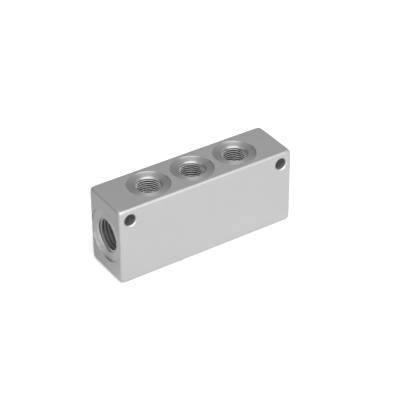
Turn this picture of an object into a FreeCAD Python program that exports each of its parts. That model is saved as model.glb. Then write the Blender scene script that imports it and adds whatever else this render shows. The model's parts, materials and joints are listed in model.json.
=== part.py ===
import FreeCAD, Part
import os
import Sketcher

# Air distribution manifold block: one aluminium bar with a supply gallery drilled along it,
# a threaded inlet in each end, a row of threaded outlets in the top and two mounting holes
# through its width. All lengths are millimetres.
# X runs along the bar, Y through its width from the front face to the back face, Z up.
# The origin is the centre of the bottom face.

# Driving dimensions
SIZES = [
    ("block_length", 72.0),
    ("block_width", 20.0),
    ("block_height", 30.0),
    ("edge_radius", 1.0),
    ("gallery_height", 15.0),
    ("gallery_diameter", 9.0),
    ("outlet_count", 3),
    ("outlet_pitch", 18.0),
    ("outlet_spotface_diameter", 15.7),
    ("outlet_spotface_depth", 0.3),
    ("outlet_countersink_diameter", 10.1),
    ("outlet_drill_diameter", 8.8),
    ("inlet_spotface_diameter", 19.4),
    ("inlet_spotface_depth", 0.5),
    ("inlet_countersink_diameter", 13.2),
    ("inlet_drill_diameter", 11.8),
    ("inlet_drill_depth", 12.5),
    ("countersink_angle", 90.0),
    ("drill_point_angle", 118.0),
    ("mounting_hole_diameter", 4.5),
    ("mounting_hole_from_end", 4.5),
    ("mounting_hole_from_top", 4.5),
    ("mounting_hole_edge_break", 0.4),
]

FULL_TURN = 360.0
TOUCH = 1e-4  # two coordinates closer than this are the same
ORIGIN_POINT = (-1, 1)
START = 1
END = 2
CENTRE = 3


def make_sheet(doc):
    """The spreadsheet that every size is read from."""
    sheet = doc.addObject("Spreadsheet::Sheet", "Sizes")
    for row, (alias, value) in enumerate(SIZES, start=1):
        sheet.set(f"A{row}", alias)
        sheet.set(f"B{row}", str(value))
        sheet.setAlias(f"B{row}", alias)
    doc.recompute()
    return sheet


def origin_feature(body, role):
    """A plane or axis of the body's own origin."""
    return next(item for item in body.Origin.OriginFeatures if item.Role == role)


def make_sketch(body, name, plane):
    sketch = body.newObject("Sketcher::SketchObject", name)
    sketch.AttachmentSupport = [(origin_feature(body, plane), "")]
    sketch.MapMode = "FlatFace"
    return sketch


def drive(sketch, constraint, name, expression):
    """Adds one dimension and binds it to the sheet."""
    index = sketch.addConstraint(constraint)
    sketch.renameConstraint(index, name)
    sketch.setExpression(f"Constraints.{name}", expression)


def distance(direction, point, value):
    """A dimension along one sketch axis, from the sketch's origin to a point."""
    return Sketcher.Constraint(direction, *ORIGIN_POINT, *point, value)


def join_outline(sketch, corners):
    """Draws a closed outline of straight lines through the corners."""
    ends = corners[1:] + corners[:1]
    lines = [
        sketch.addGeometry(Part.LineSegment(FreeCAD.Vector(*a, 0), FreeCAD.Vector(*b, 0)), False)
        for a, b in zip(corners, ends)
    ]
    for line, following in zip(lines, lines[1:] + lines[:1]):
        sketch.addConstraint(Sketcher.Constraint("Coincident", line, END, following, START))
    return lines


def edges_where(shape, wanted):
    """The names of a shape's edges that pass a test."""
    return [f"Edge{i}" for i, edge in enumerate(shape.Edges, start=1) if wanted(edge)]


def add_bar(body, sheet):
    """The bar, with all twelve edges rounded over."""
    half_width = sheet.block_width / 2
    height = sheet.block_height
    section = make_sketch(body, "bar_section", "YZ_Plane")
    corners = [(-half_width, 0), (half_width, 0), (half_width, height), (-half_width, height)]
    bottom, right, top, left = join_outline(section, corners)
    for line in (bottom, top):
        section.addConstraint(Sketcher.Constraint("Horizontal", line))
    for line in (left, right):
        section.addConstraint(Sketcher.Constraint("Vertical", line))
    section.addConstraint(Sketcher.Constraint("PointOnObject", bottom, START, -1))
    drive(section, distance("DistanceX", (right, START), half_width),
          "right_side", "Sizes.block_width / 2")
    drive(section, Sketcher.Constraint("DistanceX", left, START, right, START, 2 * half_width),
          "across", "Sizes.block_width")
    drive(section, distance("DistanceY", (top, START), height), "up", "Sizes.block_height")

    bar = body.newObject("PartDesign::Pad", "bar")
    bar.Profile = section
    bar.SideType = "Symmetric"
    bar.setExpression("Length", "Sizes.block_length")
    body.Document.recompute()

    rounded = body.newObject("PartDesign::Fillet", "rounded_edges")
    rounded.Base = (bar, edges_where(bar.Shape, lambda edge: True))
    rounded.setExpression("Radius", "Sizes.edge_radius")
    body.Document.recompute()


def add_gallery(body, sheet):
    """The supply bore, drilled along the whole bar."""
    section = make_sketch(body, "gallery_section", "YZ_Plane")
    radius = sheet.gallery_diameter / 2
    centre = FreeCAD.Vector(0, sheet.gallery_height, 0)
    circle = section.addGeometry(Part.Circle(centre, FreeCAD.Vector(0, 0, 1), radius), False)
    section.addConstraint(Sketcher.Constraint("PointOnObject", circle, CENTRE, -2))
    drive(section, distance("DistanceY", (circle, CENTRE), centre.y),
          "height", "Sizes.gallery_height")
    drive(section, Sketcher.Constraint("Diameter", circle, 2 * radius),
          "diameter", "Sizes.gallery_diameter")

    gallery = body.newObject("PartDesign::Pocket", "gallery")
    gallery.Profile = section
    gallery.Type = "ThroughAll"
    gallery.SideType = "Symmetric"
    body.Document.recompute()


def add_port(body, sheet, kind, turn, place, drill_depth):
    """One threaded port, turned about its own axis: spotface, countersink and pointed drill hole.

    The sketch's upright axis is the port's axis and runs into the block from its face.
    turn is the sketch's angle in the plane of the section, place holds the expressions of its
    origin there, and drill_depth the one for the depth of the full drill diameter.
    """
    sketch = make_sketch(body, f"{kind}_section", "XZ_Plane")
    sketch.AttachmentOffset = FreeCAD.Placement(
        FreeCAD.Vector(), FreeCAD.Rotation(FreeCAD.Vector(0, 0, 1), turn))
    for axis, expression in zip("xy", place):
        sketch.setExpression(f"AttachmentOffset.Base.{axis}", expression)

    spotface = f"Sizes.{kind}_spotface_diameter / 2"
    countersink = f"Sizes.{kind}_countersink_diameter / 2"
    drill = f"Sizes.{kind}_drill_diameter / 2"
    face_depth = f"Sizes.{kind}_spotface_depth"
    cone_depth = f"{face_depth} + ({countersink} - {drill}) / tan(Sizes.countersink_angle / 2 * 1 deg)"
    tip_depth = f"{drill_depth} + {drill} / tan(Sizes.drill_point_angle / 2 * 1 deg)"
    outline = [
        ("0", "0"),
        (spotface, "0"),
        (spotface, face_depth),
        (countersink, face_depth),
        (drill, cone_depth),
        (drill, drill_depth),
        ("0", tip_depth),
    ]
    corners = [tuple(float(sketch.evalExpression(item)) for item in pair) for pair in outline]
    face, wall, floor, cone, bore, point, axis = join_outline(sketch, corners)
    sketch.addConstraint(Sketcher.Constraint("Coincident", face, START, *ORIGIN_POINT))
    for line in (face, floor):
        sketch.addConstraint(Sketcher.Constraint("Horizontal", line))
    for line in (wall, bore, axis):
        sketch.addConstraint(Sketcher.Constraint("Vertical", line))
    for line, name in ((wall, "spotface"), (cone, "countersink"), (bore, "drill")):
        radius, _ = outline[line]
        drive(sketch, distance("DistanceX", (line, START), corners[line][0]), f"{name}_radius", radius)
    for line, name in ((floor, "spotface"), (bore, "cone"), (point, "drill"), (axis, "tip")):
        _, depth = outline[line]
        drive(sketch, distance("DistanceY", (line, START), corners[line][1]), f"{name}_depth", depth)

    port = body.newObject("PartDesign::Groove", f"first_{kind}")
    port.Profile = sketch
    port.ReferenceAxis = (sketch, ["V_Axis"])
    port.Angle = FULL_TURN
    body.Document.recompute()
    return port


def add_outlets(body, sheet):
    """The row of outlets in the top, drilled down to the gallery's axis."""
    first = "-Sizes.outlet_pitch * (Sizes.outlet_count - 1) / 2"
    drill_depth = "(Sizes.block_height - Sizes.gallery_height)"
    port = add_port(body, sheet, "outlet", 180.0, (first, "Sizes.block_height"), drill_depth)
    row = body.newObject("PartDesign::LinearPattern", "outlets")
    row.Originals = [port]
    row.Direction = (origin_feature(body, "X_Axis"), [""])
    row.Mode = "Spacing"
    row.setExpression("Offset", "Sizes.outlet_pitch")
    row.setExpression("Occurrences", "Sizes.outlet_count")
    body.Tip = row
    body.Document.recompute()


def add_inlets(body, sheet):
    """The same kind of port in each end, on the gallery's axis."""
    place = ("-Sizes.block_length / 2", "Sizes.gallery_height")
    port = add_port(body, sheet, "inlet", -90.0, place, "Sizes.inlet_drill_depth")
    pair = body.newObject("PartDesign::Mirrored", "inlets")
    pair.Originals = [port]
    pair.MirrorPlane = (origin_feature(body, "YZ_Plane"), [""])
    body.Tip = pair
    body.Document.recompute()


def add_mounting_holes(body, sheet):
    """A plain hole through the width near each upper corner, with its mouths broken."""
    section = make_sketch(body, "mounting_hole_section", "XZ_Plane")
    radius = sheet.mounting_hole_diameter / 2
    across = sheet.block_length / 2 - sheet.mounting_hole_from_end
    up = sheet.block_height - sheet.mounting_hole_from_top
    centre = FreeCAD.Vector(across, up, 0)
    circle = section.addGeometry(Part.Circle(centre, FreeCAD.Vector(0, 0, 1), radius), False)
    drive(section, distance("DistanceX", (circle, CENTRE), across),
          "across", "Sizes.block_length / 2 - Sizes.mounting_hole_from_end")
    drive(section, distance("DistanceY", (circle, CENTRE), up),
          "up", "Sizes.block_height - Sizes.mounting_hole_from_top")
    drive(section, Sketcher.Constraint("Diameter", circle, 2 * radius),
          "diameter", "Sizes.mounting_hole_diameter")

    hole = body.newObject("PartDesign::Pocket", "first_mounting_hole")
    hole.Profile = section
    hole.Type = "ThroughAll"
    hole.SideType = "Symmetric"
    body.Document.recompute()

    pair = body.newObject("PartDesign::Mirrored", "mounting_holes")
    pair.Originals = [hole]
    pair.MirrorPlane = (origin_feature(body, "YZ_Plane"), [""])
    body.Tip = pair
    body.Document.recompute()

    def is_mouth(edge):
        """A full hole edge that lies in the front or back face."""
        flat = edge.BoundBox.YLength < TOUCH
        outside = abs(abs(edge.BoundBox.Center.y) - sheet.block_width / 2) < TOUCH
        return flat and outside and isinstance(edge.Curve, Part.Circle)

    mouths = body.newObject("PartDesign::Chamfer", "mounting_hole_mouths")
    mouths.Base = (pair, edges_where(pair.Shape, is_mouth))
    mouths.setExpression("Size", "Sizes.mounting_hole_edge_break")
    body.Document.recompute()


def make_manifold_block(doc, sheet):
    body = doc.addObject("PartDesign::Body", "ManifoldBlock")
    body.Label = "manifold_block"
    body.Placement = FreeCAD.Placement()
    steps = (add_bar, add_gallery, add_outlets, add_inlets, add_mounting_holes)
    for step in steps:
        before = body.Shape.Volume if body.Shape.Solids else 0.0
        step(body, sheet)
        if abs(body.Shape.Volume - before) < TOUCH:
            raise RuntimeError(f"{step.__name__} changed nothing")
    return body


def check(doc, bodies):
    """Stops before anything is written if an object failed."""
    for item in doc.Objects:
        if {"Invalid", "Error"} & set(item.State):
            raise RuntimeError(f"{item.Name} failed: {item.State}")
    for body in bodies:
        if body.Shape.isNull() or not body.Shape.isValid() or len(body.Shape.Solids) != 1:
            raise RuntimeError(f"{body.Label} is not one valid solid")


def main():
    doc = FreeCAD.newDocument("manifold")
    sheet = make_sheet(doc)
    bodies = [make_manifold_block(doc, sheet)]
    doc.recompute()
    check(doc, bodies)
    os.makedirs("parts", exist_ok=True)
    for body in bodies:
        body.Shape.exportStep(f"parts/{body.Label}.step")
        size = body.Shape.BoundBox
        print(body.Label, f"{size.XLength:.2f} x {size.YLength:.2f} x {size.ZLength:.2f} mm,",
              f"{body.Shape.Volume:.1f} cubic mm, {len(body.Shape.Faces)} faces")


main()
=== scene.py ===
import json
import math

import bmesh
import bpy
from mathutils import Matrix, Vector


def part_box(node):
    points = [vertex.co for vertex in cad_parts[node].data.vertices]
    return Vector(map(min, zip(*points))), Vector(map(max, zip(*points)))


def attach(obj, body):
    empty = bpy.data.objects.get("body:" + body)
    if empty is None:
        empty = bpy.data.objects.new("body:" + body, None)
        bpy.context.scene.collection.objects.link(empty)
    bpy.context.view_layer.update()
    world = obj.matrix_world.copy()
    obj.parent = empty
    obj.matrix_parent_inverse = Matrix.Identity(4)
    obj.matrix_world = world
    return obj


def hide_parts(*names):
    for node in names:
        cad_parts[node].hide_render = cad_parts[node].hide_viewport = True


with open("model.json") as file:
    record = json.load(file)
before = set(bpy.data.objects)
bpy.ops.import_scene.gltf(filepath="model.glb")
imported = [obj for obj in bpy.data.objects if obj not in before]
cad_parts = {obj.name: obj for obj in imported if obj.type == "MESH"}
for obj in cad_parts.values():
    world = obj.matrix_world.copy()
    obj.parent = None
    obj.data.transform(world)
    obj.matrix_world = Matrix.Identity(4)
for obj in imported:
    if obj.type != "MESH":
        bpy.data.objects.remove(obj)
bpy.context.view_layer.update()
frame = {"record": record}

# Air distribution manifold block. The dressed block is cut the way the real one is machined:
# a bar with rounded edges, less one cutter for each port, the gallery and each mounting hole.
# The port cutters carry real helical threads. Lengths are metres, angles radians.

NODE = "manifold_block"
MM = 0.001

LOW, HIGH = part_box(NODE)
LENGTH, WIDTH = (HIGH - LOW).xy
MOUNTS = {mount["name"]: mount for mount in frame["record"]["mounts"]}
OUTLET_PITCH = MOUNTS["outlet_2"]["pos_m"][0] - MOUNTS["outlet_1"]["pos_m"][0]
GALLERY_HEIGHT = MOUNTS["inlet_left"]["pos_m"][2]

# The bar
EDGE_RADIUS = 1.0 * MM
EDGE_STEPS = 5                # to each side of an edge's middle
CORNER_REACH = 3.0 * MM       # how far a corner's extra rounding reaches along each axis
CORNER_STEPS = 6
CORNER_DEPTH = 0.5 * MM       # how deep it would go at the tip of a sharp corner
SHARP_ANGLE = math.radians(38)
MERGE_DISTANCE = 0.0005 * MM

# The cutters, with the sizes that the solid has
OVERSHOOT = 1.0 * MM          # how far a cutter stands out of the face that it cuts
GALLERY_RADIUS = 4.5 * MM
GALLERY_COLUMNS = 94
MOUNTING_HOLE_MOUTH = 0.4 * MM
MOUNTING_HOLE_COLUMNS = 64
MOUTH_ROUNDING = 0.12 * MM    # how far the blasting has rounded a port's mouth
RIM_ARC = (math.radians(200), math.radians(270), 4)    # start, end, steps
FOOT_ARC = (math.radians(90), math.radians(0), 3)
PORT_COLUMNS = 120
COUNTERSINK_STEPS = 14
COUNTERSINK_HALF_ANGLE = math.radians(45)
DRILL_POINT_HALF_ANGLE = math.radians(59)

# A parallel pipe thread, in shares of its pitch
THREAD_HALF_ANGLE = math.radians(27.5)
THREAD_TRIANGLE = 0.960491    # the height of its sharp triangle
THREAD_ROUNDING = 0.137329    # the radius of its root
THREAD_RUN_OUT = 1.5          # how long it takes to fade at its end

# Where each material lies in the block's list
(BLASTED, OUTLET_TURNED, INLET_TURNED, OUTLET_TAPPED, INLET_TAPPED, DRILLED,
 MILLED_WALL) = range(7)

OUTLET = {
    "axis": (0.0, 0.0, 1.0),
    "wall": OUTLET_TURNED,
    "turned": OUTLET_TURNED,
    "tapped": OUTLET_TAPPED,
    # a darker tone than the inlets' for the same turned metal: painted shade on faces that look up
    "turned_tone_and_painted_light": (0.45, 0.48),
    # painted light on the thread's crests and painted shade in its roots
    "crest_painted_light": 0.97,
    "root_painted_shade": 0.03,
    "spotface_radius": 7.85 * MM,
    "spotface_depth": 0.3 * MM,
    "countersink_radius": 5.05 * MM,
    "drill_radius": MOUNTS["outlet_1"]["dims"]["r_mm"] * MM,
    "drill_depth": 15.0 * MM,
    "thread_radius": 9.728 / 2 * MM,
    "pitch": 0.907 * MM,
    "thread_depth": 9.8 * MM,
}
INLET = {
    "axis": (1.0, 0.0, 0.0),
    "wall": MILLED_WALL,
    "turned": INLET_TURNED,
    "tapped": INLET_TAPPED,
    # a lighter tone than the outlets' for the same turned metal: painted light on the end faces
    "turned_tone_and_painted_light": (0.60, 0.63),
    # painted light on the thread's crests and painted shade in its roots
    "crest_painted_light": 0.85,
    "root_painted_shade": 0.20,
    "spotface_radius": 9.7 * MM,
    "spotface_depth": 0.5 * MM,
    "countersink_radius": 6.6 * MM,
    "drill_radius": MOUNTS["inlet_left"]["dims"]["r_mm"] * MM,
    "drill_depth": 12.5 * MM,
    "thread_radius": 13.157 / 2 * MM,
    "pitch": 1.337 * MM,
    "thread_depth": 11.4 * MM,
}

# Finishes. A pair is the range that the grain takes a value through, and a VARIATION is how much
# another noise adds to it or takes off it. The scales are for coordinates in metres.
BLASTED_TONE = (0.50, 0.56)
BLASTED_TONE_VARIATION = 0.012
BLASTED_ROUGHNESS = (0.42, 0.52)
BLASTED_ROUGHNESS_VARIATION = 0.03
BLASTED_BUMP = (0.02 * MM, 1.0)         # distance and strength
TURNED_ANISOTROPY = 0.88
TURNED_TONE_VARIATION = 0.02
TURNED_ROUGHNESS = (0.38, 0.46)
TURNED_RING_BUMP = (0.006 * MM, 0.6)
TURNED_GRAIN_BUMP = (0.006 * MM, 0.4)
TAPPED_TONE_VARIATION = 0.02
TAPPED_ROUGHNESS = (0.28, 0.36)
DRILLED_TONE = (0.58, 0.64)
DRILLED_ROUGHNESS = (0.48, 0.58)
MILLED_TONE = (0.50, 0.54)
MILLED_ROUGHNESS = (0.14, 0.20)
CLOUD_SCALE = 90.0            # slow changes of tone
HANDLING_SCALE = 260.0        # patches that are a little smoother or rougher
CUT_GRAIN_SCALE = 3000.0
BLAST_GRAIN_SCALE = 5200.0
RING_SCALE = 8000.0

WHITE = (1, 1, 1, 1)

# The floor's own light stands in for white surroundings. The camera sees it evenly. In the
# block's reflections it is dim behind and brightens along FLOOR_TOWARD, to the front right.
FLOOR_REACH = 3.0
FLOOR_ROUGHNESS = 0.9
FLOOR_TONE = (0.52, 0.98)     # where it is reflected, where the camera sees it
FLOOR_SEEN = 0.11
FLOOR_REFLECTED = (0.04, 0.50)
FLOOR_TOWARD = (0.55, -0.84, 0)
FLOOR_RAMP = (-0.035, 0.0)

ROOM_TOWARD = (0.35, -0.5, 0.8)
ROOM_RAMP = (-0.4, 1.0)
ROOM_STRENGTH = (0.22, 0.86)

LAMP_DISTANCE = 1.0
LAMPS = [                     # name, direction from the block, width, radiance
    ("key", (-0.25, -0.68, 0.69), 1.7, 1.47),
    ("overhead", (0, 0, 1), 0.3, 1.7),
    ("side", (-0.7, 0.3, 0.65), 0.5, 0.8),
]

# The photograph's camera. The lens and the sensor are in millimetres.
CAMERA_AZIMUTH = math.radians(33.112)
CAMERA_ELEVATION = math.radians(34.366)
CAMERA_ROLL = math.radians(-0.384)
CAMERA_DISTANCE = 552.03 * MM
CAMERA_TARGET = Vector((3.331, 0.125, 15.0)) * MM
CAMERA_LENS = 138.638
CAMERA_SENSOR = 36.0
CAMERA_CLIP = 10 * MM


def add_object(name, data):
    """Puts a new object into the scene."""
    item = bpy.data.objects.new(name, data)
    bpy.context.scene.collection.objects.link(item)
    return item


# Materials

class Graph:
    """A node tree to build on. Most methods add a node and give back its output."""

    def __init__(self, tree):
        self.tree = tree

    def add(self, kind, **settings):
        """A new node, with its settings but not its inputs."""
        node = self.tree.nodes.new("ShaderNode" + kind)
        for name, value in settings.items():
            setattr(node, name, value)
        return node

    def feed(self, socket, value):
        """Links another node's output to an input, or sets the input to a value."""
        if isinstance(value, bpy.types.NodeSocket):
            self.tree.links.new(value, socket)
        else:
            socket.default_value = value

    def math(self, operation, *inputs):
        node = self.add("Math", operation=operation)
        for socket, value in zip(node.inputs, inputs):
            self.feed(socket, value)
        return node.outputs["Value"]

    def vector(self, operation, *inputs):
        node = self.add("VectorMath", operation=operation)
        for socket, value in zip(node.inputs, inputs):
            self.feed(socket, value)
        return node.outputs["Value" if operation in ("LENGTH", "DOT_PRODUCT") else "Vector"]

    def noise(self, place, scale, detail=2.0, roughness=0.6):
        node = self.add("TexNoise")
        self.feed(node.inputs["Vector"], place)
        self.feed(node.inputs["Scale"], scale)
        self.feed(node.inputs["Detail"], detail)
        self.feed(node.inputs["Roughness"], roughness)
        return node.outputs["Fac"]

    def rings(self, radius, scale, detail=2.0, roughness=0.5):
        """A noise that changes with one distance only."""
        node = self.add("TexNoise", noise_dimensions="1D")
        self.feed(node.inputs["W"], radius)
        self.feed(node.inputs["Scale"], scale)
        self.feed(node.inputs["Detail"], detail)
        self.feed(node.inputs["Roughness"], roughness)
        return node.outputs["Fac"]

    def ramp(self, value, start, end, low, high, shape="SMOOTHSTEP"):
        """Maps start..end to low..high."""
        node = self.add("MapRange", interpolation_type=shape)
        self.feed(node.inputs["Value"], value)
        self.feed(node.inputs["From Min"], start)
        self.feed(node.inputs["From Max"], end)
        self.feed(node.inputs["To Min"], low)
        self.feed(node.inputs["To Max"], high)
        return node.outputs["Result"]

    def spread(self, value, low, high):
        """Maps 0..1 to low..high evenly."""
        return self.ramp(value, 0.0, 1.0, low, high, "LINEAR")

    def vary(self, value, base, amount):
        """Adds up to an amount to both sides of a base, as a value goes from 0 to 1."""
        return self.math("ADD", base, self.spread(value, -amount, amount))

    def grey(self, value):
        node = self.add("CombineColor")
        for socket in node.inputs:
            self.feed(socket, value)
        return node.outputs["Color"]

    def bump(self, height, distance, strength, normal=None):
        node = self.add("Bump")
        self.feed(node.inputs["Height"], height)
        self.feed(node.inputs["Distance"], distance)
        self.feed(node.inputs["Strength"], strength)
        if normal is not None:
            self.feed(node.inputs["Normal"], normal)
        return node.outputs["Normal"]


def new_material(name):
    """A material, its graph and its shader's inputs."""
    material = bpy.data.materials.new(name)
    material.use_nodes = True
    tree = material.node_tree
    return material, Graph(tree), tree.nodes["Principled BSDF"].inputs


def new_metal(name):
    """A bare metal, its graph, its shader's inputs and the place of the shaded point."""
    material, graph, shader = new_material(name)
    graph.feed(shader["Metallic"], 1.0)
    return material, graph, shader, graph.add("TexCoord").outputs["Object"]


def from_axis(graph, place, port):
    """The vector to the shaded point from its port's axis, at a right angle to the axis."""
    split = graph.add("SeparateXYZ")
    graph.feed(split.inputs["Vector"], place)
    join = graph.add("CombineXYZ")
    graph.feed(join.inputs["Y"], split.outputs["Y"])
    if port is OUTLET:
        # the middle outlet is at x = 0, and the others are a pitch away from it
        half = OUTLET_PITCH / 2
        graph.feed(join.inputs["X"], graph.math("WRAP", split.outputs["X"], half, -half))
    else:
        above = graph.math("SUBTRACT", split.outputs["Z"], GALLERY_HEIGHT)
        graph.feed(join.inputs["Z"], above)
    return join.outputs["Vector"]


def make_blasted(name):
    """Bead-blasted, clear-anodised aluminium: the block's outside."""
    material, graph, shader, place = new_metal(name)
    cloud = graph.noise(place, CLOUD_SCALE, detail=3.0, roughness=0.5)
    handling = graph.noise(place, HANDLING_SCALE, detail=4.0)
    grain = graph.noise(place, BLAST_GRAIN_SCALE)
    tone = graph.vary(cloud, graph.spread(grain, *BLASTED_TONE), BLASTED_TONE_VARIATION)
    roughness = graph.vary(handling, graph.spread(grain, *BLASTED_ROUGHNESS),
                           BLASTED_ROUGHNESS_VARIATION)
    graph.feed(shader["Base Color"], graph.grey(tone))
    graph.feed(shader["Roughness"], roughness)
    graph.feed(shader["Normal"], graph.bump(grain, *BLASTED_BUMP))
    return material


def make_turned(name, port):
    """The same aluminium where a cutter has faced it: fine rings round each port's axis."""
    material, graph, shader, place = new_metal(name)
    outward = from_axis(graph, place, port)
    rings = graph.rings(graph.vector("LENGTH", outward), RING_SCALE)
    grain = graph.noise(place, BLAST_GRAIN_SCALE)
    # the tone comes from the port: outlets and inlets get shaded and lit copies of one turned
    # metal, painted light and shade
    tone = graph.vary(rings, graph.spread(grain, *port["turned_tone_and_painted_light"]), TURNED_TONE_VARIATION)
    graph.feed(shader["Base Color"], graph.grey(tone))
    graph.feed(shader["Roughness"], graph.spread(grain, *TURNED_ROUGHNESS))
    ringed = graph.bump(rings, *TURNED_RING_BUMP)
    graph.feed(shader["Normal"], graph.bump(grain, *TURNED_GRAIN_BUMP, ringed))

    normal = graph.add("NewGeometry").outputs["Normal"]
    along_ring = graph.vector("CROSS_PRODUCT", port["axis"], outward)
    graph.feed(shader["Anisotropic"], TURNED_ANISOTROPY)
    graph.feed(shader["Tangent"], graph.vector("CROSS_PRODUCT", normal, along_ring))
    return material


def make_tapped(name, port):
    """Threads and drill hole of a port: painted light on the crests, painted shade in the roots."""
    material, graph, shader, place = new_metal(name)
    radius = graph.vector("LENGTH", from_axis(graph, place, port))
    # painted light and shade: the tone runs from lit crests at the drill's radius to shaded roots
    # at the thread's radius
    painted_thread_shading = graph.ramp(radius, port["drill_radius"], port["thread_radius"],
                            port["crest_painted_light"], port["root_painted_shade"])
    grain = graph.noise(place, CUT_GRAIN_SCALE)
    tone = graph.vary(grain, painted_thread_shading, TAPPED_TONE_VARIATION)
    graph.feed(shader["Base Color"], graph.grey(tone))
    graph.feed(shader["Roughness"], graph.spread(grain, *TAPPED_ROUGHNESS))
    return material


def make_wall(name, tone, roughness):
    """A plain wall left by a drill or by an end mill's side. tone and roughness are ranges."""
    material, graph, shader, place = new_metal(name)
    grain = graph.noise(place, CUT_GRAIN_SCALE)
    graph.feed(shader["Base Color"], graph.grey(graph.spread(grain, *tone)))
    graph.feed(shader["Roughness"], graph.spread(grain, *roughness))
    return material


# Meshes of the block and its cutters. A cutter's depth runs along its own Z.

def finish_mesh(name, mesh, place):
    """Turns a built mesh into an object that has the block's materials."""
    bmesh.ops.remove_doubles(mesh, verts=mesh.verts, dist=MERGE_DISTANCE)
    bmesh.ops.recalc_face_normals(mesh, faces=mesh.faces)
    data = bpy.data.meshes.new(name)
    mesh.to_mesh(data)
    mesh.free()
    data.transform(place)
    for material in MATERIALS:
        data.materials.append(material)
    return add_object(name, data)


def bar_lines(half):
    """Where the bar's mesh lines cross an axis: evenly spaced within a corner's reach, then at
    even angles round the edge."""
    inner = half - EDGE_RADIUS
    flat = [inner - (CORNER_REACH - EDGE_RADIUS) * step / CORNER_STEPS
            for step in range(CORNER_STEPS, 0, -1)]
    turned = [inner + EDGE_RADIUS * math.tan(math.radians(45) * step / EDGE_STEPS)
              for step in range(EDGE_STEPS + 1)]
    lines = flat + turned
    return [-line for line in reversed(lines)] + lines


def rounded(point, half):
    """A point of the sharp bar's surface, moved onto the rounded bar."""
    inner = Vector([max(EDGE_RADIUS - reach, min(reach - EDGE_RADIUS, value))
                    for value, reach in zip(point, half)])
    place = inner + (point - inner).normalized() * EDGE_RADIUS
    share = 1.0
    for value, reach in zip(place, half):
        share *= max(0.0, 1.0 - (reach - abs(value)) / CORNER_REACH) ** 2
    inward = Vector([-math.copysign(1, value) for value in place]).normalized()
    return place + inward * CORNER_DEPTH * share


def make_bar():
    """The bar before it is drilled, with rounded edges and corners that are rounder still."""
    half = (HIGH - LOW) / 2
    centre = (LOW + HIGH) / 2
    mesh = bmesh.new()
    for axis in range(3):
        across, along = (axis + 1) % 3, (axis + 2) % 3
        for side in (-1, 1):
            grid = []
            for u in bar_lines(half[across]):
                line = []
                for v in bar_lines(half[along]):
                    point = Vector((0, 0, 0))
                    point[axis], point[across], point[along] = side * half[axis], u, v
                    line.append(mesh.verts.new(centre + rounded(point, half)))
                grid.append(line)
            for left, right in zip(grid, grid[1:]):
                for i in range(len(left) - 1):
                    face = mesh.faces.new([left[i], right[i], right[i + 1], left[i + 1]])
                    face.material_index = BLASTED
    return finish_mesh("dressed_block", mesh, Matrix.Identity(4))


def facing(inward, at):
    """The placement of a cutter whose depth runs along inward from a point."""
    return Matrix.Translation(at) @ Vector(inward).to_track_quat("Z", "Y").to_matrix().to_4x4()


def ring(mesh, row):
    """A ring of vertices round the cutter's axis. A row has the (depth, radius) of each."""
    line = []
    for column, (depth, radius) in enumerate(row):
        turn = 2 * math.pi * column / len(row)
        line.append(mesh.verts.new((radius * math.cos(turn), radius * math.sin(turn), depth)))
    return line


def drill_cutter(name, outline, columns, place):
    """A closed mesh turned from an outline of (depth, radius) points."""
    mesh = bmesh.new()
    grid = [ring(mesh, [point] * columns) for point in outline]
    for upper, lower in zip(grid, grid[1:]):
        for i in range(columns):
            following = (i + 1) % columns
            mesh.faces.new([upper[i], upper[following], lower[following], lower[i]])
    mesh.faces.new(grid[0])
    mesh.faces.new(grid[-1])
    for face in mesh.faces:
        face.material_index = DRILLED
    return finish_mesh(name, mesh, place)


def thread_radius(port, depth, column):
    """The radius that the tap leaves at a depth, in one of the cutter's columns."""
    pitch = port["pitch"]
    phase = depth / pitch - column / PORT_COLUMNS      # a whole number in the groove's middle
    from_middle = abs((phase + 0.5) % 1.0 - 0.5) * pitch
    rounding = THREAD_ROUNDING * pitch
    apex = port["thread_radius"] + THREAD_TRIANGLE / 6 * pitch
    if from_middle < rounding * math.cos(THREAD_HALF_ANGLE):
        cut = port["thread_radius"] - rounding + math.sqrt(rounding ** 2 - from_middle ** 2)
    else:
        cut = apex - from_middle / math.tan(THREAD_HALF_ANGLE)
    share = min(1.0, max(0.0, (port["thread_depth"] - depth) / (THREAD_RUN_OUT * pitch)))
    return port["drill_radius"] + max(0.0, cut - port["drill_radius"]) * share


def turn_steps(port):
    """Where the rows of one thread turn lie: at the groove's middle, its rounded root, its
    flanks and the flat crest that the drill has left."""
    pitch = port["pitch"]
    root = THREAD_ROUNDING * math.cos(THREAD_HALF_ANGLE)
    apex = port["thread_radius"] + THREAD_TRIANGLE / 6 * pitch
    crest = (apex - port["drill_radius"]) * math.tan(THREAD_HALF_ANGLE) / pitch
    side = [root / 3, root * 2 / 3, root, (root + crest) / 2, crest]
    return [0.0] + side + [0.5] + [1.0 - step for step in reversed(side)]


def flat_row(depth, radius):
    return [(depth, radius)] * PORT_COLUMNS


def arc_rows(centre_depth, centre_radius, start, end, steps):
    """Rows along a rounded edge, by angle from the port's axis."""
    turns = [start + (end - start) * step / steps for step in range(steps + 1)]
    return [flat_row(centre_depth + MOUTH_ROUNDING * math.cos(turn),
                     centre_radius + MOUTH_ROUNDING * math.sin(turn)) for turn in turns]


def wall_rows(port):
    """Rows from outside the face, down the spotface's wall and onto its floor."""
    rim = port["spotface_radius"]
    floor = port["spotface_depth"]
    rows = [flat_row(-OVERSHOOT, rim + OVERSHOOT)]
    # rounded rim, from a little above the face
    rows += arc_rows(MOUTH_ROUNDING, rim + MOUTH_ROUNDING, *RIM_ARC)
    # rounded corner between wall and floor
    rows += arc_rows(floor - MOUTH_ROUNDING, rim - MOUTH_ROUNDING, *FOOT_ARC)
    return rows


def countersink_end(port):
    depth = port["countersink_radius"] - port["drill_radius"]
    return port["spotface_depth"] + depth / math.tan(COUNTERSINK_HALF_ANGLE)


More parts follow.
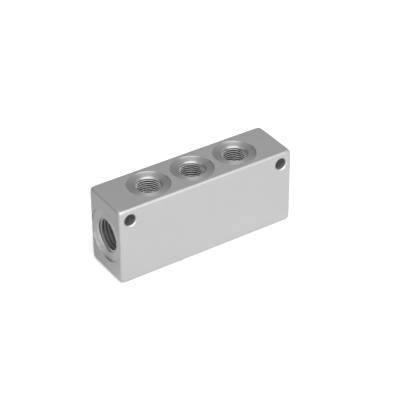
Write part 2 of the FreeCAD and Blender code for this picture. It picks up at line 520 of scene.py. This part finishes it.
def countersink_rows(port):
    """Rows down the countersink, with the start of the thread cut into them."""
    floor = port["spotface_depth"]
    end = countersink_end(port)
    rows = []
    for step in range(COUNTERSINK_STEPS + 1):
        depth = floor + (end - floor) * step / COUNTERSINK_STEPS
        cone = port["countersink_radius"] - (depth - floor) * math.tan(COUNTERSINK_HALF_ANGLE)
        rows.append([(depth, max(cone, thread_radius(port, depth, column)))
                     for column in range(PORT_COLUMNS)])
    return rows


def thread_rows(port):
    """Rows that each go down by one pitch as they go round. Where a row leaves the thread's
    ends it is pressed onto them, and doubled vertices are merged later."""
    pitch = port["pitch"]
    start = countersink_end(port)
    first = math.floor(start / pitch) - 1
    turns = math.ceil((port["thread_depth"] - start) / pitch) + 4
    rows = []
    for turn in range(first, first + turns):
        for step in turn_steps(port):
            row = []
            for column in range(PORT_COLUMNS):
                depth = (turn + step + column / PORT_COLUMNS) * pitch
                depth = min(max(depth, start), port["thread_depth"])
                row.append((depth, thread_radius(port, depth, column)))
            rows.append(row)
    return rows


def port_cutter(name, port, place):
    """A closed mesh of what the tools take out of one port. place takes it to its face."""
    wall = wall_rows(port)
    countersink = countersink_rows(port)
    thread = thread_rows(port)
    drill_row = flat_row(port["drill_depth"], port["drill_radius"])
    mesh = bmesh.new()
    grid = [ring(mesh, row) for row in wall + countersink + thread + [drill_row]]
    thread_start = len(wall) + len(countersink)
    thread_end = thread_start + len(thread) - 1
    per_turn = len(turn_steps(port))

    def corner(row, column):
        """Past the last column a thread row carries on as the row one turn deeper."""
        if column < PORT_COLUMNS:
            return grid[row][column]
        if thread_start <= row <= thread_end:
            row = min(row + per_turn, thread_end)
        return grid[row][0]

    # the material of each band between two rows
    bands = ([port["wall"]] * (len(wall) - 1) + [port["turned"]] * len(countersink)
             + [port["tapped"]] * (len(thread) + 1))
    for row, material_index in enumerate(bands):
        for i in range(PORT_COLUMNS):
            corners = [corner(row, i), corner(row, i + 1),
                       corner(row + 1, i + 1), corner(row + 1, i)]
            if len(set(corners)) == len(corners):
                mesh.faces.new(corners).material_index = material_index
    mesh.faces.new(list(reversed(grid[0])))
    tip_depth = port["drill_depth"] + port["drill_radius"] / math.tan(DRILL_POINT_HALF_ANGLE)
    tip = mesh.verts.new((0, 0, tip_depth))
    for i in range(PORT_COLUMNS):
        face = mesh.faces.new([grid[-1][i], grid[-1][(i + 1) % PORT_COLUMNS], tip])
        face.material_index = port["tapped"]
    return finish_mesh(name, mesh, place)


def make_cutters():
    gallery = [(-OVERSHOOT, GALLERY_RADIUS), (LENGTH + OVERSHOOT, GALLERY_RADIUS)]
    cutters = [drill_cutter("gallery", gallery, GALLERY_COLUMNS,
                            facing((1, 0, 0), (LOW.x, 0, GALLERY_HEIGHT)))]
    for name, mount in MOUNTS.items():
        x, y, z = mount["pos_m"]
        if name.startswith("outlet"):
            cutters.append(port_cutter(name, OUTLET, facing((0, 0, -1), (x, y, HIGH.z))))
        if name.startswith("inlet"):
            outward = math.copysign(1, x)
            face = HIGH.x if outward > 0 else LOW.x
            cutters.append(port_cutter(name, INLET, facing((-outward, 0, 0), (face, y, z))))
    holes = MOUNTS["mounting_holes"]
    radius = holes["dims"]["hole_r_mm"] * MM
    mouth = radius + MOUNTING_HOLE_MOUTH
    outline = [
        (-OVERSHOOT, mouth + OVERSHOOT),
        (MOUNTING_HOLE_MOUTH, radius),
        (WIDTH - MOUNTING_HOLE_MOUTH, radius),
        (WIDTH + OVERSHOOT, mouth + OVERSHOOT),
    ]
    for side in (-1, 1):
        x = holes["pos_m"][0] + side * holes["dims"]["spacing_x_mm"] / 2 * MM
        at = (x, LOW.y, holes["pos_m"][2])
        cutters.append(drill_cutter(f"mounting_hole_{side}", outline, MOUNTING_HOLE_COLUMNS,
                                    facing((0, 1, 0), at)))
    return cutters


def cut(block, cutters):
    """Takes each cutter out of the block in turn."""
    for cutter in cutters:
        modifier = block.modifiers.new(cutter.name, "BOOLEAN")
        modifier.operation = "DIFFERENCE"
        modifier.solver = "EXACT"
        modifier.material_mode = "INDEX"
        modifier.object = cutter
    depsgraph = bpy.context.evaluated_depsgraph_get()
    machined = bpy.data.meshes.new_from_object(block.evaluated_get(depsgraph))
    block.modifiers.clear()
    block.data = machined
    for cutter in cutters:
        bpy.data.objects.remove(cutter)


def smooth(block):
    """Smooth shading with sharp machined edges, and flat faces that stay flat."""
    block.data.polygons.foreach_set("use_smooth", [True] * len(block.data.polygons))
    block.data.set_sharp_from_angle(angle=SHARP_ANGLE)
    weighted = block.modifiers.new("flat_faces", "WEIGHTED_NORMAL")
    weighted.mode = "FACE_AREA"
    weighted.keep_sharp = True


# Floor, room, lamps and camera

def make_floor():
    data = bpy.data.meshes.new("floor")
    corners = [(-FLOOR_REACH, -FLOOR_REACH, 0), (FLOOR_REACH, -FLOOR_REACH, 0),
               (FLOOR_REACH, FLOOR_REACH, 0), (-FLOOR_REACH, FLOOR_REACH, 0)]
    data.from_pydata(corners, [], [(0, 1, 2, 3)])
    floor = add_object("floor", data)
    material, graph, shader = new_material("floor")
    data.materials.append(material)
    graph.feed(shader["Roughness"], FLOOR_ROUGHNESS)
    graph.feed(shader["Specular IOR Level"], 0.0)

    path = graph.add("LightPath").outputs
    tone = graph.spread(path["Is Camera Ray"], *FLOOR_TONE)
    graph.feed(shader["Base Color"], graph.grey(tone))

    place = graph.add("TexCoord").outputs["Object"]
    along = graph.vector("DOT_PRODUCT", place, FLOOR_TOWARD)
    mirrored = graph.math("MULTIPLY",
                          graph.math("MAXIMUM", path["Is Glossy Ray"], path["Is Transmission Ray"]),
                          graph.ramp(along, *FLOOR_RAMP, *FLOOR_REFLECTED))
    seen = graph.math("MULTIPLY", path["Is Camera Ray"], FLOOR_SEEN)
    graph.feed(shader["Emission Color"], WHITE)
    graph.feed(shader["Emission Strength"], graph.math("ADD", seen, mirrored))


def make_room():
    """A plain room, brightest high up to the front right, dimmest low at the back left."""
    world = bpy.data.worlds.new("studio")
    bpy.context.scene.world = world
    world.use_nodes = True
    graph = Graph(world.node_tree)
    direction = graph.add("TexCoord").outputs["Generated"]
    along = graph.vector("DOT_PRODUCT", direction, ROOM_TOWARD)
    background = world.node_tree.nodes["Background"].inputs
    graph.feed(background["Color"], WHITE)
    graph.feed(background["Strength"], graph.ramp(along, *ROOM_RAMP, *ROOM_STRENGTH))


def make_lamp(name, toward, width, radiance):
    """A square soft lamp in a direction from the block, by the brightness of its face."""
    data = bpy.data.lights.new(name, "AREA")
    data.shape = "SQUARE"
    data.size = width
    data.energy = radiance * math.pi * width ** 2
    lamp = add_object(name, data)
    direction = Vector(toward).normalized()
    lamp.location = direction * LAMP_DISTANCE
    lamp.rotation_euler = direction.to_track_quat("Z", "Y").to_euler()


def make_camera():
    """The photograph's camera: where it stands, how it is turned, and its lens."""
    azimuth, elevation, roll = CAMERA_AZIMUTH, CAMERA_ELEVATION, CAMERA_ROLL
    forward = Vector((math.sin(azimuth) * math.cos(elevation),
                      math.cos(azimuth) * math.cos(elevation), -math.sin(elevation)))
    level = Vector((math.cos(azimuth), -math.sin(azimuth), 0))
    above = level.cross(forward)
    right = math.cos(roll) * level + math.sin(roll) * above
    up = math.cos(roll) * above - math.sin(roll) * level
    data = bpy.data.cameras.new("camera")
    data.sensor_fit = "HORIZONTAL"
    data.sensor_width = CAMERA_SENSOR
    data.lens = CAMERA_LENS
    data.clip_start = CAMERA_CLIP
    camera = add_object("camera", data)
    turn = Matrix((right, up, -forward)).transposed().to_4x4()
    camera.matrix_world = Matrix.Translation(CAMERA_TARGET - forward * CAMERA_DISTANCE) @ turn
    bpy.context.scene.camera = camera


# In the order of their indices
MATERIALS = [
    make_blasted("blasted_aluminium"),
    make_turned("turned_outlets", OUTLET),
    make_turned("turned_inlets", INLET),
    make_tapped("tapped_outlets", OUTLET),
    make_tapped("tapped_inlets", INLET),
    make_wall("drilled_aluminium", DRILLED_TONE, DRILLED_ROUGHNESS),
    make_wall("milled_wall", MILLED_TONE, MILLED_ROUGHNESS),
]
block = make_bar()
cut(block, make_cutters())
smooth(block)
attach(block, "root")
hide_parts(NODE)

make_floor()
make_room()
for lamp in LAMPS:
    make_lamp(*lamp)
make_camera()
bpy.context.scene.view_settings.view_transform = "Standard"
